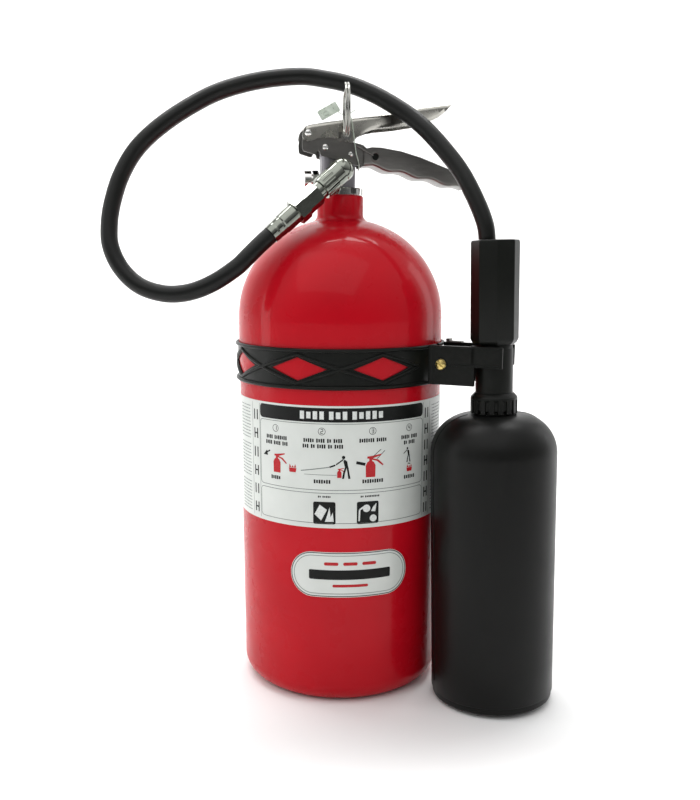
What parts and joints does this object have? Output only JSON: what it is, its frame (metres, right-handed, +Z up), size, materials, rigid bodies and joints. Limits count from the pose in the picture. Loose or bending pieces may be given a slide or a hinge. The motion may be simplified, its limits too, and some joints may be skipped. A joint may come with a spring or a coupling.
{
  "type": "fire extinguisher",
  "caption": "Portable gas fire extinguisher: steel cylinder, squeeze-lever valve with pull pin, hose, and a discharge horn held in a side clip.",
  "frame": {"origin": "centre of the cylinder's flat base, on the floor", "axes": "+Z up the cylinder's axis; +X along the squeeze lever towards its grip; the lever's hinge runs along Y; the horn stands at 36 degrees from +X towards -Y"},
  "size_m": [0.3725, 0.2317, 0.5308],
  "materials": {
    "red_paint": "gloss",
    "label_film": "satin printed film",
    "chrome_plate": "bright plated",
    "steel_plate": "satin",
    "body_metal": "satin plated",
    "brass_part": "machined",
    "black_plastic": "moulded, satin",
    "horn_plastic": "moulded, fine grain",
    "hose_rubber": "satin",
    "seal_rubber": "matt",
    "seal_plastic": "translucent"
  },
  "bodies": {
    "root": {"cylinder_shell": "red_paint", "instruction_label": "label_film", "emblem_label": "label_film", "neck_ring": "chrome_plate", "neck_o_ring": "seal_rubber", "valve_body": "body_metal", "siphon_tube": "body_metal", "stem_gland": "brass_part", "stem_o_ring": "seal_rubber", "return_spring": "steel_plate", "relief_plug": "chrome_plate", "burst_disc": "brass_part", "relief_nut": "chrome_plate", "carrying_handle": "steel_plate", "bracket_rivets": "chrome_plate", "lever_pivot_rivet": "chrome_plate", "tamper_seal": "seal_plastic", "outlet_elbow": "chrome_plate", "swivel_nut": "chrome_plate", "hose_adapter": "chrome_plate", "hose_ferrule": "chrome_plate", "hose": "hose_rubber", "cylinder_band": "black_plastic", "front_clamp_arm": "black_plastic", "rear_clamp_arm": "black_plastic", "clamp_tab": "steel_plate", "clamp_screw": "brass_part", "clamp_nut": "brass_part"},
    "lever": {"operating_lever": "chrome_plate"},
    "stem": {"valve_stem": "body_metal", "seat_disc": "seal_rubber"},
    "pin": {"pull_pin": "chrome_plate", "pin_ring": "chrome_plate"},
    "horn_unit": {"horn_grip": "black_plastic", "horn_tube": "black_plastic", "horn_collar": "black_plastic", "discharge_orifice": "brass_part", "horn": "horn_plastic"}
  },
  "joints": [
    {"name": "lever_squeeze", "type": "hinge", "parent": "root", "child": "lever", "pos_m": [-0.0293, 0, 0.4771], "axis": [0, 1, 0], "range_deg": [0, 7.5], "stiffness_Nm_per_rad": 8, "springref_deg": -3.44},
    {"name": "stem_press", "type": "slide", "parent": "root", "child": "stem", "axis": [0, 0, -1], "range_m": [0, 0.0031], "deforming": ["return_spring"]},
    {"name": "pin_pull", "type": "slide", "parent": "root", "child": "pin", "axis": [0, -1, 0], "range_m": [0, 0.055]},
    {"name": "horn_release", "type": "slide", "parent": "root", "child": "horn_unit", "axis": [0.809, -0.5878, 0], "range_m": [0, 0.06]}
  ],
  "couplings": [
    {"joint": "stem_press", "follows": "lever_squeeze", "m_per_rad": 0.0232}
  ]
}
